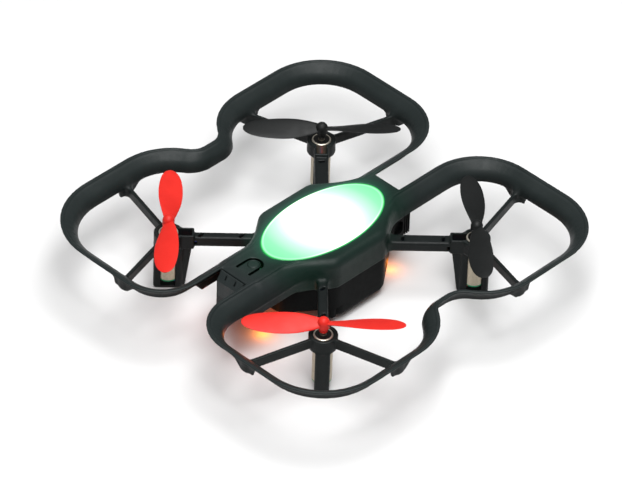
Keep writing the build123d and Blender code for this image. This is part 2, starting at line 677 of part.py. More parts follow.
with BuildPart() as lower_housing:
    add(body_block(MID_FLOOR, PARTING, -HOUSING_INSET))
    add(belly.part)
    with BuildSketch(Plane.XY.offset(REAR_FLOOR)):
        with Locations((0, NECK_REAR_Y / 2)):
            Rectangle(2 * BAY_HALF_WIDTH, -NECK_REAR_Y)
    extrude(amount=PARTING - REAR_FLOOR)
    # hollow: the tray, the belly under it and the battery bay in the neck
    add(body_block(MID_FLOOR + WALL, PARTING, -HOUSING_INSET - WALL), mode=Mode.SUBTRACT)
    with BuildSketch(Plane.XY.offset(BELLY + WALL)):
        with Locations((0, BELLY_WELL_Y)):
            RectangleRounded(*BELLY_WELL, 2.0)
    extrude(amount=MID_FLOOR, mode=Mode.SUBTRACT)
    with BuildSketch(Plane.XY.offset(REAR_FLOOR + WALL)):
        with Locations((0, NECK_REAR_Y / 2)):
            Rectangle(2 * (PACK_HALF_WIDTH + FIT_GAP), -NECK_REAR_Y)
    extrude(amount=PARTING, mode=Mode.SUBTRACT)
    # rails that carry the battery pack inside the tray
    with BuildSketch(Plane.XY.offset(MID_FLOOR)):
        with Locations((RAIL_X, RAIL_Y), (-RAIL_X, RAIL_Y)):
            Rectangle(1.2, RAIL_LENGTH)
    extrude(amount=REAR_FLOOR + WALL - MID_FLOOR)
    # screw bosses with recessed heads
    with BuildSketch(Plane.XY.offset(BELLY + WALL)):
        with Locations(*BOSS_PLACES):
            Circle(BOSS_WALL_RADIUS + 0.2)
    extrude(amount=PARTING - BELLY - WALL)
    with BuildSketch(Plane.XY.offset(PARTING)):
        with Locations(*BOSS_PLACES):
            Circle(BOSS_TIP_RADIUS)
    extrude(amount=MAIN_BOARD_Z - PARTING)
    with BuildSketch(Plane.XY.offset(BELLY)):
        with Locations(*BOSS_PLACES):
            Circle(SCREW_HEAD_RADIUS + 0.1)
    extrude(amount=SCREW_SEAT - BELLY, mode=Mode.SUBTRACT)
    with BuildSketch(Plane.XY.offset(BELLY)):
        with Locations(*BOSS_PLACES):
            Circle(SCREW_RADIUS + FIT_GAP / 6)
    extrude(amount=MAIN_BOARD_Z - BELLY, mode=Mode.SUBTRACT)
    # windows for the sensor lens and the two under-lights
    with BuildSketch(Plane.XY.offset(BELLY)):
        with Locations(SENSOR_PLACE):
            Circle(SENSOR_RADIUS)
        with Locations((0, BELLY_LIGHT_Y)):
            RectangleRounded(*BELLY_LIGHT, 1.0)
    extrude(amount=WALL, mode=Mode.SUBTRACT)
    with BuildSketch(Plane.XY.offset(MID_FLOOR)):
        with Locations((0, TAIL_LIGHT_Y)):
            RectangleRounded(*BELLY_LIGHT, 1.0)
    extrude(amount=WALL, mode=Mode.SUBTRACT)
save(lower_housing.part, "lower_housing")

with BuildPart() as sensor_lens:
    with BuildSketch(Plane.XY.offset(BELLY)):
        with Locations(SENSOR_PLACE):
            Circle(SENSOR_RADIUS)
    extrude(amount=WALL)
save(sensor_lens.part, "sensor_lens")

UNDER_LIGHTS = (("belly_light", BELLY_LIGHT_Y, BELLY), ("tail_light", TAIL_LIGHT_Y, MID_FLOOR))
for light_name, light_y, light_z in UNDER_LIGHTS:
    with BuildPart() as under_light:
        with BuildSketch(Plane.XY.offset(light_z)):
            with Locations((0, light_y)):
                RectangleRounded(*BELLY_LIGHT, 1.0)
        extrude(amount=WALL)
    save(under_light.part, light_name)

with BuildPart() as housing_screws:
    with BuildSketch(Plane.XY.offset(SCREW_SEAT - 1.0)):
        with Locations(*BOSS_PLACES):
            Circle(SCREW_HEAD_RADIUS)
    extrude(amount=1.0)
    with BuildSketch(Plane.XY.offset(SCREW_SEAT)):
        with Locations(*BOSS_PLACES):
            Circle(SCREW_RADIUS)
    extrude(amount=SCREW_TOP - SCREW_SEAT)
    with BuildSketch(Plane.XY.offset(SCREW_SEAT - 1.0)):
        with Locations(*BOSS_PLACES):
            Rectangle(1.6, 0.4)
            Rectangle(0.4, 1.6)
    extrude(amount=0.5, mode=Mode.SUBTRACT)
save(housing_screws.part, "housing_screws")

with BuildPart() as nose_block:
    with BuildSketch(Plane.XY.offset(NOSE_FLOOR)):
        with Locations((0, (NOSE_Y + 22) / 2)):
            Rectangle(2 * NOSE_HALF_WIDTH, NOSE_Y - 22)
    extrude(amount=NOSE_TOP - NOSE_FLOOR)
    fillet(nose_block.edges().filter_by(Axis.Z).group_by(Axis.Y)[-1], radius=0.8)
    # upright ribs near the front of each side, and a rounded side port behind them
    for side in (-1, 1):
        with BuildSketch(Plane.YZ.offset(side * NOSE_HALF_WIDTH)):
            with Locations((31.2, 16), (32.2, 16), (33.2, 16)):
                Rectangle(0.5, 12)
        extrude(amount=-side * 0.5, mode=Mode.SUBTRACT)
        with BuildSketch(Plane.YZ.offset(side * NOSE_HALF_WIDTH)):
            with Locations((28.2, 16.2)):
                RectangleRounded(4.2, 5.6, 1.5)
        extrude(amount=-side * 1.6, mode=Mode.SUBTRACT)
    with BuildSketch(Plane.XZ.offset(-NOSE_Y)):
        with Locations((0, 16)):
            RectangleRounded(12, 4.4, 1.2)
    extrude(amount=1.0, mode=Mode.SUBTRACT)
    add(body_block(BELLY, SHELL_TOP, 0), mode=Mode.SUBTRACT)
save(nose_block.part, "nose_block")

with BuildPart() as nose_window:
    with BuildSketch(Plane.XZ.offset(-NOSE_Y + 0.3)):
        with Locations((0, 16)):
            RectangleRounded(12, 4.4, 1.2)
    extrude(amount=0.7)
save(nose_window.part, "nose_window")


# ---------------------------------------------------------------- battery pack
with BuildPart() as battery_case:
    with BuildSketch(Plane.XY.offset(PACK_BOTTOM)):
        with Locations((0, (PACK_FRONT + NECK_REAR_Y - FIT_GAP) / 2)):
            Rectangle(2 * PACK_HALF_WIDTH, PACK_FRONT - NECK_REAR_Y + FIT_GAP)
    extrude(amount=PACK_TOP - PACK_BOTTOM)
    with BuildSketch(Plane.XY.offset(PACK_BOTTOM + PACK_WALL)):
        with Locations((0, (PACK_FRONT + NECK_REAR_Y + PACK_WALL) / 2)):
            Rectangle(2 * (PACK_HALF_WIDTH - PACK_WALL), PACK_FRONT - NECK_REAR_Y - PACK_WALL)
    extrude(amount=PACK_TOP - PACK_BOTTOM - 2 * PACK_WALL, mode=Mode.SUBTRACT)
    # latch end that closes the back of the neck, with a sloped top edge and two grip notches
    with BuildSketch(Plane.XY.offset(PACK_BOTTOM)):
        with Locations((0, (CAP_END_Y + NECK_REAR_Y - CAP_SEAM) / 2)):
            Rectangle(2 * CAP_HALF_WIDTH, NECK_REAR_Y - CAP_SEAM - CAP_END_Y)
    extrude(amount=SHELL_TOP - 0.1 - PACK_BOTTOM)
    with BuildSketch(Plane.YZ):
        with BuildLine():
            Polyline((NECK_REAR_Y - 0.5, SHELL_TOP), (CAP_END_Y, SHELL_TOP - CAP_SLOPE_DROP),
                     (CAP_END_Y - 1, SHELL_TOP - CAP_SLOPE_DROP), (CAP_END_Y - 1, SHELL_TOP + 1),
                     (NECK_REAR_Y - 0.5, SHELL_TOP + 1), close=True)
        make_face()
    extrude(amount=NECK_HALF_WIDTH, both=True, mode=Mode.SUBTRACT)
    with BuildSketch(Plane.XY.offset(SHELL_TOP - CAP_SLOPE_DROP)):
        with Locations((-2.2, NECK_REAR_Y - 1.3), (2.2, NECK_REAR_Y - 1.3)):
            Rectangle(0.7, 1.2)
    extrude(amount=5, mode=Mode.SUBTRACT)
save(battery_case.part, "battery_case")

with BuildPart() as battery_cell:
    with BuildSketch(Plane.XY.offset(PACK_BOTTOM + PACK_WALL + 0.1)):
        with Locations((0, (PACK_FRONT - 1.5 + NECK_REAR_Y + PACK_WALL + 0.5) / 2)):
            RectangleRounded(2 * (PACK_HALF_WIDTH - PACK_WALL) - 0.6,
                             PACK_FRONT - 1.5 - NECK_REAR_Y - PACK_WALL - 0.5, 1.5)
    extrude(amount=PACK_TOP - PACK_BOTTOM - 2 * PACK_WALL - 0.2)
save(battery_cell.part, "battery_cell")

with BuildPart() as battery_terminals:
    with BuildSketch(Plane.XZ.offset(-PACK_FRONT)):
        with Locations((0, (PACK_BOTTOM + PACK_TOP) / 2)):
            Rectangle(2 * (PACK_HALF_WIDTH - PACK_WALL), PACK_TOP - PACK_BOTTOM - 2 * PACK_WALL)
    extrude(amount=0.8)
save(battery_terminals.part, "battery_terminals")
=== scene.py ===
import json
from math import cos, hypot, pi, radians, sin, tan

import bpy
import numpy as np
from mathutils import Matrix, Vector


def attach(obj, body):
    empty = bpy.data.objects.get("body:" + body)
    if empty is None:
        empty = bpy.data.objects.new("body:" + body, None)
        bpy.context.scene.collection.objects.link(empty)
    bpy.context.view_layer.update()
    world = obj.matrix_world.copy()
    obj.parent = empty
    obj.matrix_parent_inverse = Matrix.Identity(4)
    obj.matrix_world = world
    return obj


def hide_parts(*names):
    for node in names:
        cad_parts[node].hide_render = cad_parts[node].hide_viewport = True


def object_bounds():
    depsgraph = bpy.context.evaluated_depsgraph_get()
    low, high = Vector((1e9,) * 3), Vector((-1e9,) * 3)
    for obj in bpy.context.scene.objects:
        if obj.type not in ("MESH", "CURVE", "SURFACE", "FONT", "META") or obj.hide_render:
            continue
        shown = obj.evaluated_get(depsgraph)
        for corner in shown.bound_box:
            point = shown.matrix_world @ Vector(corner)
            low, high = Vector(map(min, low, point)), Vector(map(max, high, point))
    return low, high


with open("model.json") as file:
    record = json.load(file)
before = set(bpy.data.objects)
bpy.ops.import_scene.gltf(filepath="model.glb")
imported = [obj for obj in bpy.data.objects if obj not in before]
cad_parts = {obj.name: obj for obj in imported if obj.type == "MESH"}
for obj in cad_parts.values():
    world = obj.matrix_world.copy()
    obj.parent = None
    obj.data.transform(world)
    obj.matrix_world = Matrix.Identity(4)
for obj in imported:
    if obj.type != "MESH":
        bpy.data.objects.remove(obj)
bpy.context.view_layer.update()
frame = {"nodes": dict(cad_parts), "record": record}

MM = 0.001

# ---------------------------------------------------------------- places on the craft, in mm
MOTOR = 37.8                  # each motor's distance from the middle along X and along Y
CAN_RADIUS, CAN_FACE_Z = 3.5, 23.35
LENS_RX, LENS_RY = 14.25, 27.0
LENS_RIM_Z, LENS_CROWN = 29.2, 0.55
KEY_RADIUS, KEY_CENTRE_Y, KEY_ROOT_Y = 2.45, -33.9, -39.35
KEY_TOP, KEY_BOTTOM = 29.206, 27.9
SLOT_HALF_X, SLOT_Y, SLOT_TOP = 3.7, (-39.1, -30.2), 29.05   # painted shade inside the slot round the button's tongue
LEVEL_SPAN = 40               # height over which the ramps by level run

# ---------------------------------------------------------------- camera
IMAGE_WIDTH = 622
SENSOR_WIDTH = 36.0
FOCAL_PIXELS = 5316
AZIMUTH, ELEVATION, ROLL = 43.5, 39.41, 1.99
TARGET = Vector((3.39, -9.02, 23.5)) * MM
DISTANCE = 1839.4 * MM


def make_camera():
    """Camera above and behind the craft, looking at a point near the tail of the light."""
    a, e, r = radians(AZIMUTH), radians(ELEVATION), radians(ROLL)
    back = Vector((sin(a) * cos(e), -cos(a) * cos(e), sin(e)))
    level_right = Vector((cos(a), sin(a), 0))
    level_up = back.cross(level_right)
    right = level_right * cos(r) + level_up * sin(r)
    up = back.cross(right)
    data = bpy.data.cameras.new("camera")
    data.sensor_fit = "HORIZONTAL"
    data.sensor_width = SENSOR_WIDTH
    data.lens = SENSOR_WIDTH * FOCAL_PIXELS / IMAGE_WIDTH
    data.clip_start = 0.05
    data.clip_end = 20
    camera = bpy.data.objects.new("camera", data)
    turn = Matrix((right, up, back)).transposed().to_4x4()
    camera.matrix_world = Matrix.Translation(TARGET + back * DISTANCE) @ turn
    bpy.context.scene.collection.objects.link(camera)
    bpy.context.scene.camera = camera


# ---------------------------------------------------------------- materials
def new_material(name, **inputs):
    """A material with one Principled shader whose constant sockets are given by name."""
    material = bpy.data.materials.new(name)
    material.use_nodes = True
    shader = material.node_tree.nodes["Principled BSDF"]
    for socket, value in inputs.items():
        shader.inputs[socket.replace("_", " ")].default_value = value
    return material, material.node_tree, shader


def noise(tree, scale, detail=3.0, roughness=0.55):
    """Noise over the object's own coordinates; scale is features per metre."""
    place = tree.nodes.new("ShaderNodeTexCoord")
    texture = tree.nodes.new("ShaderNodeTexNoise")
    texture.inputs["Scale"].default_value = scale
    texture.inputs["Detail"].default_value = detail
    texture.inputs["Roughness"].default_value = roughness
    tree.links.new(place.outputs["Object"], texture.inputs["Vector"])
    return texture.outputs["Fac"]


def ramp(tree, source, *stops):
    """Colour ramp from a 0 to 1 source; stops are (position, colour)."""
    node = tree.nodes.new("ShaderNodeValToRGB")
    elements = node.color_ramp.elements
    while len(elements) < len(stops):
        elements.new(0.5)
    for element, (position, colour) in zip(elements, stops):
        element.position = position
        element.color = (*colour, 1.0)
    tree.links.new(source, node.inputs["Fac"])
    return node.outputs["Color"]


def bump(tree, shader, height, distance):
    """Fine relief on a shader from a height socket; distance is its depth in metres."""
    node = tree.nodes.new("ShaderNodeBump")
    node.inputs["Strength"].default_value = 1.0
    node.inputs["Distance"].default_value = distance
    tree.links.new(height, node.inputs["Height"])
    tree.links.new(node.outputs["Normal"], shader.inputs["Normal"])


def moulded(name, dark, light, rough=(0.42, 0.55), grain=4200, grain_depth=0.00003, specular=0.5):
    """Moulded plastic: slow colour drift, fine spark-eroded grain and slightly uneven gloss."""
    material, tree, shader = new_material(name, Specular_IOR_Level=specular)
    slow = noise(tree, 90, 4.0)
    tree.links.new(ramp(tree, slow, (0.3, dark), (0.7, light)), shader.inputs["Base Color"])
    uneven = noise(tree, 420, 3.0)
    low, high = rough
    tree.links.new(ramp(tree, uneven, (0.3, (low,) * 3), (0.7, (high,) * 3)), shader.inputs["Roughness"])
    bump(tree, shader, noise(tree, grain, 2.0), grain_depth)
    return material


def maths(tree, operation, first, second=None):
    """One math node; inputs are sockets or numbers."""
    node = tree.nodes.new("ShaderNodeMath")
    node.operation = operation
    for socket, value in zip(node.inputs, (first, second)):
        if value is None:
            continue
        if isinstance(value, (int, float)):
            socket.default_value = value
        else:
            tree.links.new(value, socket)
    return node.outputs[0]


def mixed(tree, factor, first, second, blend="MIX"):
    """One colour mix node; its inputs are sockets or constants."""
    node = tree.nodes.new("ShaderNodeMix")
    node.data_type = "RGBA"
    node.blend_type = blend
    for name, value in (("Factor", factor), ("A", first), ("B", second)):
        if isinstance(value, bpy.types.NodeSocket):
            tree.links.new(value, node.inputs[name])
        else:
            node.inputs[name].default_value = value
    return node.outputs["Result"]


def place_axes(tree):
    """X, Y and Z of the shaded point in the craft's own frame."""
    place = tree.nodes.new("ShaderNodeTexCoord")
    split = tree.nodes.new("ShaderNodeSeparateXYZ")
    tree.links.new(place.outputs["Object"], split.inputs["Vector"])
    return split.outputs


def ellipse_share(tree, half_x, half_y):
    """Distance from the light's centre in units of an ellipse's two half axes (mm)."""
    axes = place_axes(tree)
    across = maths(tree, "POWER", maths(tree, "DIVIDE", axes["X"], half_x * MM), 2)
    along = maths(tree, "POWER", maths(tree, "DIVIDE", axes["Y"], half_y * MM), 2)
    return maths(tree, "SQRT", maths(tree, "ADD", across, along))


def between(tree, value, low, high):
    """1 where a socket lies between two numbers, else 0."""
    above = maths(tree, "GREATER_THAN", value, low)
    return maths(tree, "MULTIPLY", above, maths(tree, "LESS_THAN", value, high))


def by_level(tree, height, *stops):
    """Colour ramp over the height above the ground."""
    return ramp(tree, maths(tree, "MULTIPLY", height, 1 / (LEVEL_SPAN * MM)), *stops)


def frame_plastic():
    """Charcoal moulding with painted shade low down and in the button's slot, painted light and shade round
    the lens, and a painted green glow close to the lens.
    """
    material = moulded("frame_plastic", (0.0108, 0.0150, 0.0148), (0.0150, 0.0196, 0.0194),
                       rough=(0.38, 0.50), grain=2400, grain_depth=0.00006, specular=0.16)
    tree = material.node_tree
    shader = tree.nodes["Principled BSDF"]
    axes = place_axes(tree)
    # painted shade: the slot round the button's tongue stays dark inside
    beside = between(tree, maths(tree, "ABSOLUTE", axes["X"]), -1, SLOT_HALF_X * MM)
    slot_span = maths(tree, "MULTIPLY", beside, between(tree, axes["Y"], SLOT_Y[0] * MM, SLOT_Y[1] * MM))
    painted_slot_shade = maths(tree, "MULTIPLY", slot_span, maths(tree, "LESS_THAN", axes["Z"], SLOT_TOP * MM))
    clear_of_slot_shade = maths(tree, "SUBTRACT", 1.0, painted_slot_shade)
    # painted shade: below about 22 mm, on the arms and pods, the moulding is darkened to 0.42
    level = by_level(tree, axes["Z"], (0.555, (0.42, 0.42, 0.42)), (0.66, (1, 1, 1)))
    # painted light and shade: round the lens the shell's left side is lightened and its right-hand side
    # darkened, as if in its own shade
    across = maths(tree, "ADD", maths(tree, "DIVIDE", axes["X"], 60 * MM), 0.5)
    near_lens = maths(tree, "SUBTRACT", ellipse_share(tree, LENS_RX, LENS_RY), 1.0)
    side_light_and_shade = ramp(tree, across, (0.30, (1.15, 1.25, 1.2)), (0.60, (0.35, 0.60, 0.50)))
    fade = ramp(tree, near_lens, (0.25, (1, 1, 1)), (0.60, (0, 0, 0)))
    tone = shader.inputs["Base Color"].links[0].from_socket
    for factor in (level, clear_of_slot_shade, mixed(tree, fade, (1, 1, 1, 1), side_light_and_shade)):
        tone = mixed(tree, 1.0, tone, factor, "MULTIPLY")
    tree.links.new(tone, shader.inputs["Base Color"])
    # painted glow: green light that leaks on to the shell round the lens, given as emission
    painted_green_glow = ramp(tree, near_lens, (0.0, (0.003, 0.110, 0.044)), (0.03, (0.003, 0.040, 0.020)),
                (0.14, (0.002, 0.014, 0.008)), (0.55, (0, 0, 0)))
    halo_side = ramp(tree, across, (0.32, (1.6, 1.6, 1.6)), (0.62, (0.7, 0.7, 0.7)))
    for factor in (halo_side, clear_of_slot_shade):
        painted_green_glow = mixed(tree, 1.0, painted_green_glow, factor, "MULTIPLY")
    tree.links.new(painted_green_glow, shader.inputs["Emission Color"])
    shader.inputs["Emission Strength"].default_value = 1.0
    return material


def latch_plastic():
    """Battery case: frame colour on the latch end's upper part, darker below and inside."""
    material = moulded("latch_plastic", (0.0050, 0.0058, 0.0058), (0.0075, 0.0085, 0.0085),
                       rough=(0.40, 0.52), grain=2400, grain_depth=0.00006, specular=0.25)
    tree = material.node_tree
    shader = tree.nodes["Principled BSDF"]
    shade = by_level(tree, place_axes(tree)["Z"], (0.484, (0, 0, 0)), (0.494, (1, 1, 1)))
    upper = ramp(tree, noise(tree, 90, 4.0),
                 (0.3, (0.0135, 0.0182, 0.0182)), (0.7, (0.0180, 0.0230, 0.0230)))
    lower = shader.inputs["Base Color"].links[0].from_socket
    tree.links.new(mixed(tree, shade, lower, upper), shader.inputs["Base Color"])
    return material


def motor_steel():
    """Satin can: fine turning marks down its side, and a dark face on top inside a bright rim, a painted
    highlight.
    """
    material, tree, shader = new_material("motor_steel", Metallic=0.85, Specular_IOR_Level=0.4)
    axes = place_axes(tree)
    side_x = maths(tree, "SUBTRACT", maths(tree, "ABSOLUTE", axes["X"]), MOTOR * MM)
    side_y = maths(tree, "SUBTRACT", maths(tree, "ABSOLUTE", axes["Y"]), MOTOR * MM)
    squares = maths(tree, "ADD", maths(tree, "POWER", side_x, 2), maths(tree, "POWER", side_y, 2))
    on_top = maths(tree, "GREATER_THAN", axes["Z"], CAN_FACE_Z * MM)
    # painted highlight: the bright ring at the top face's rim stands in for its glint; inside it the face is
    # dark
    face = ramp(tree, maths(tree, "DIVIDE", maths(tree, "SQRT", squares), CAN_RADIUS * MM),
                (0.34, (0.20, 0.18, 0.15)), (0.38, (0.02, 0.02, 0.02)), (0.80, (0.03, 0.028, 0.026)),
                (0.85, (0.58, 0.54, 0.46)))
    bands = noise(tree, 1500, 2.0)
    side = ramp(tree, bands, (0.3, (0.40, 0.35, 0.27)), (0.7, (0.50, 0.44, 0.34)))
    tree.links.new(mixed(tree, on_top, side, face), shader.inputs["Base Color"])
    tree.links.new(ramp(tree, bands, (0.3, (0.34,) * 3), (0.7, (0.46,) * 3)), shader.inputs["Roughness"])
    return material


def glowing(name, colour, strength):
    """Translucent window lit from behind, a little unevenly bright."""
    material, tree, shader = new_material(name, Roughness=0.3, Emission_Strength=strength)
    tone = noise(tree, 260, 2.0)
    dim = tuple(0.75 * value for value in colour)
    tree.links.new(ramp(tree, tone, (0.3, dim), (0.7, colour)), shader.inputs["Emission Color"])
    tree.links.new(ramp(tree, tone, (0.3, dim), (0.7, colour)), shader.inputs["Base Color"])
    return material


def metal(name, dark, light, rough):
    """Plain metal with fine uneven gloss."""
    material = moulded(name, dark, light, rough=rough, grain=5200, grain_depth=0.00001)
    material.node_tree.nodes["Principled BSDF"].inputs["Metallic"].default_value = 1.0
    return material


MATERIALS = {
    "frame_plastic": frame_plastic(),
    "latch_plastic": latch_plastic(),
    "motor_steel": motor_steel(),
    "under_light": glowing("under_light", (1.0, 0.16, 0.02), 3.0),
    "housing_plastic": moulded("housing_plastic", (0.0022, 0.0027, 0.0027), (0.0036, 0.0042, 0.0042),
                               rough=(0.5, 0.6), grain=2400, grain_depth=0.00006, specular=0.05),
    "nose_plastic": moulded("nose_plastic", (0.003, 0.0034, 0.0034), (0.005, 0.0054, 0.0054), specular=0.06),
    "propeller_black": moulded("propeller_black", (0.0046, 0.0054, 0.0054), (0.0072, 0.0080, 0.0080),
                               rough=(0.45, 0.56), grain=2600, grain_depth=0.00004, specular=0.20),
    "propeller_red": moulded("propeller_red", (0.52, 0.014, 0.009), (0.60, 0.020, 0.013),
                             rough=(0.40, 0.50), grain=2600, grain_depth=0.00003, specular=0.22),
    "motor_cap": moulded("motor_cap", (0.010, 0.20, 0.085), (0.016, 0.27, 0.12), specular=0.3),
    "lead_red": moulded("lead_red", (0.55, 0.010, 0.008), (0.68, 0.018, 0.012), grain=6000, specular=0.4),
    "lead_blue": moulded("lead_blue", (0.012, 0.035, 0.26), (0.020, 0.05, 0.34), grain=6000, specular=0.4),
    "white_plastic": moulded("white_plastic", (0.72, 0.72, 0.70), (0.80, 0.80, 0.78)),
    "circuit_board": moulded("circuit_board", (0.008, 0.070, 0.030), (0.014, 0.105, 0.048),
                             rough=(0.3, 0.4), grain=1500, grain_depth=0.00003),
    "led_package": moulded("led_package", (0.78, 0.76, 0.55), (0.86, 0.84, 0.66), rough=(0.3, 0.4)),
    "chip_package": moulded("chip_package", (0.010, 0.010, 0.011), (0.018, 0.018, 0.019), rough=(0.5, 0.62)),
    "dark_window": moulded("dark_window", (0.003, 0.003, 0.004), (0.005, 0.005, 0.006), rough=(0.06, 0.12)),
    "contact_brass": metal("contact_brass", (0.62, 0.42, 0.16), (0.72, 0.52, 0.22), (0.25, 0.35)),
    "cell_foil": metal("cell_foil", (0.52, 0.52, 0.54), (0.62, 0.62, 0.64), (0.30, 0.45)),
    "screw_steel": metal("screw_steel", (0.42, 0.42, 0.44), (0.52, 0.52, 0.54), (0.28, 0.38)),
}

# ---------------------------------------------------------------- the frame moulding, worked out in mm
GUARD_TOP, GUARD_LOW = 29.4, 22.4
GUARD_WALL = 1.1
LOOP_INNER_X, LOOP_OUTER_X, LOOP_END_Y = 6.0, 71.9, 72.6
LOOP_SHOULDER_Y, LOOP_WAIST_X, LOOP_WAIST_Y = (16.7, 13.5), 58.3, (6.9, 3.7)
FRONT_RADII = (21.6, 23.7, 23.4, 6.3)
REAR_RADII = (17.6, 27.0, 23.4, 6.3)
WAIST_BEND, WAIST_FLARE = 54.3, 0.7
LIP = 0.5                     # upright band at the very top of the wall
LIP_BAND = 1.3                # width and height of the thicker edge along the top
FLARE = (1.639, 0.1338)       # inset of the wall = a*drop - b*drop^2, below the lip
FLARE_DROP = 6.1              # drop below which the wall leans in no further
LEVELS = (0.0, 1.7, 3.4, 5.1)
TAB_INSET, TAB_SPAN, TAB_LEAN = 5.0, (24.6, 34.4), 0.28
TAB_Z, TAB_INNER = (19.6, 23.4), 60
SKIRT_X, SKIRT_Z = (11.0, 12.1), (18.8, 23.0)
SKIRT_FRONT_Y, SKIRT_END_Y, SKIRT_RUN = -14, -47.5, (3.0, 3.6)   # the end's lean, along and up

SHELL_TOP, PARTING, SHELL_WALL = 29.2, 17.7, 1.3
ROOM_TOP = SHELL_TOP - SHELL_WALL
BODY_END, BODY_FLANK, FLANK_SHIFT = (7.4, 28.2), (19.4, 12.0), 0.35
BODY_RADIUS, ROOM_RADIUS, SHOULDER_RADIUS = 6.0, 4.7, 3.0
NECK_MARGIN, PLATE_END_Y = 0.4, -43.2
NECK_BLEND_Y, NECK_BLEND_RATE, NECK_BLEND = (-42.9, 31), 0.8, (0.3, 3.2)
NOSE_HALF_WIDTH, NOSE_LOW_Z, NOSE_END_Y, NOSE_ROOM_END_Y = 9.8, 20.5, 32.1, 30.8
BAY_WALL_X, BAY_ROOM_X, BAY_WALL_TOP, BAY_Y = 6.7, 5.5, 28.2, (-43.5, -20)
OPENING_RX, OPENING_RY = 14.35, 27.1
HOLE_RADIUS, HOLE_ROOT_Y = 3.5, -39.0

# motor arms: u runs from the motor's axis towards the body, v across the arm
ARM_ENDS = ((1, 5.0), (-1, 3.6))   # end of the craft (nose 1, tail -1) and its arms' width
ARM_ZONE = 46
POD_BOTTOM, POD_TOP, POD_RADIUS, POD_FOOT_RADIUS = 17.0, 23.5, 5.1, 3.7
POST_HALF_WIDTH, POST_TOP = 2.6, 19
FIN_OUTLINE, FIN_HALF_WIDTH = ((3.0, 0.4), (5.9, 0.4), (8.2, 17.6), (8.2, 21.5), (3.0, 21.5)), 1.6
POCKET_U, POCKET_HALF_WIDTH, POCKET_FLOOR = (3.0, 9.0), 2.5, 17.6
BEAM_U, BEAM_Z = (8.4, 36.0), (18.2, 22.3)
SPOKE_TURNS, SPOKE_REACH, SPOKE_HALF_WIDTH = (120, -120), (4.4, 34.0), 0.65
SPOKE_LOW, SPOKE_HIGH, SPOKE_RISE_FROM, SPOKE_RISE = 19.4, 23.2, 28.5, 2.2
BORE_RADIUS, FOOT_PLATE = 3.55, 1.0
DUCT_OUTLINE, DUCT_HALF_WIDTH = ((0, 1.0), (5.1, 1.0), (7.4, 17.6), (7.4, 25), (0, 25)), 1.0
MOUTH_U, MOUTH_HALF_WIDTH, MOUTH_FLOOR = (3.0, 8.2), 1.8, 18.6
DUCT_U, DUCT_SILL_U, DUCT_SILL, DUCT_FLOOR, DUCT_TOP = (8.0, 36.5), 10.6, 18.9, 17.0, 20.7
SLIT_U = (9.0, 9.9)
TOP_SLOTS, TOP_SLOT_FLOOR = (11.3, 25.5), 20
TOP_SLOT_TURN, TOP_SLOT_HALF, TOP_SLOT_RADIUS = {1: 80, -1: 45}, 0.75, 0.5

# grid stations of the moulding's mesh: (from, to, step)
X_RUNS = ((0, 13, 0.3), (13, 33, 0.4), (33, 43, 0.3), (43, 73, 0.42))
Y_RUNS = ((-73.6, -52, 0.42), (-52, -28, 0.3), (-28, 33, 0.4), (33, 43, 0.3), (43, 73.6, 0.42))
Z_RUNS = ((-0.6, 17, 0.45), (17, 30.6, 0.27))


def rounded_outline(corners, radii, step=0.12):
    """Points of a closed polygon whose corners are rounded with one radius each."""
    points = []
    n = len(corners)
    for i, (corner, radius) in enumerate(zip(corners, radii)):
        p = np.array(corner, float)
        a = np.array(corners[i - 1], float) - p
        b = np.array(corners[(i + 1) % n], float) - p
        a /= np.hypot(*a)
        b /= np.hypot(*b)
        half = np.arccos(np.clip(a @ b, -1, 1)) / 2
        if radius <= 0 or half > pi / 2 - 1e-3:
            points.append(p)
            continue
        centre = p + (a + b) / np.hypot(*(a + b)) * radius / np.sin(half)
        start = p + a * radius / np.tan(half) - centre
        end = p + b * radius / np.tan(half) - centre
        turn = np.arctan2(start[0] * end[1] - start[1] * end[0], start @ end)
        for t in np.linspace(0, 1, max(3, int(abs(turn) / step) + 1)):
            c, s = np.cos(turn * t), np.sin(turn * t)
            points.append(centre + (c * start[0] - s * start[1], s * start[0] + c * start[1]))
    return np.array(points)


def outline_distance(points, x, y):
    """Signed distance in the plane to a closed outline, negative inside."""
    best = np.full(x.shape, 1e9, np.float32)
    inside = np.zeros(x.shape, bool)
    for (ax, ay), (bx, by) in zip(points, np.roll(points, -1, axis=0)):
        ex, ey = bx - ax, by - ay
        length = ex * ex + ey * ey
        if length < 1e-12:
            continue
        px, py = x - ax, y - ay
        t = np.clip((px * ex + py * ey) / length, 0, 1)
        np.minimum(best, (px - t * ex) ** 2 + (py - t * ey) ** 2, out=best)
        if ay != by:
            inside ^= ((ay > y) != (by > y)) & (x < ex * (y - ay) / ey + ax)
    return np.where(inside, -1, 1) * np.sqrt(best)


def smooth(a, b, k):
    """Union of two bodies with a fillet of about k in the corner between them."""
    h = np.clip(0.5 + 0.5 * (b - a) / k, 0, 1)
    return b + (a - b) * h - k * h * (1 - h)


def rounded(*sides, r):
    """Intersection of slabs given by their distances, with edges rounded by r."""
    out = 0.0
    inner = -1e9
    for q in sides:
        out = out + np.maximum(q + r, 0) ** 2
        inner = np.maximum(inner, q + r)
    return np.minimum(inner, 0) + np.sqrt(out) - r


def slab(v, low, high):
    """Distance to the layer between two values of one coordinate."""
    return np.abs(v - (low + high) / 2) - (high - low) / 2


def common(shape, *distances):
    """Intersection of bodies given by their distances, some of them the same all over the plan."""
    return np.maximum.reduce([np.broadcast_to(q, shape) for q in distances])


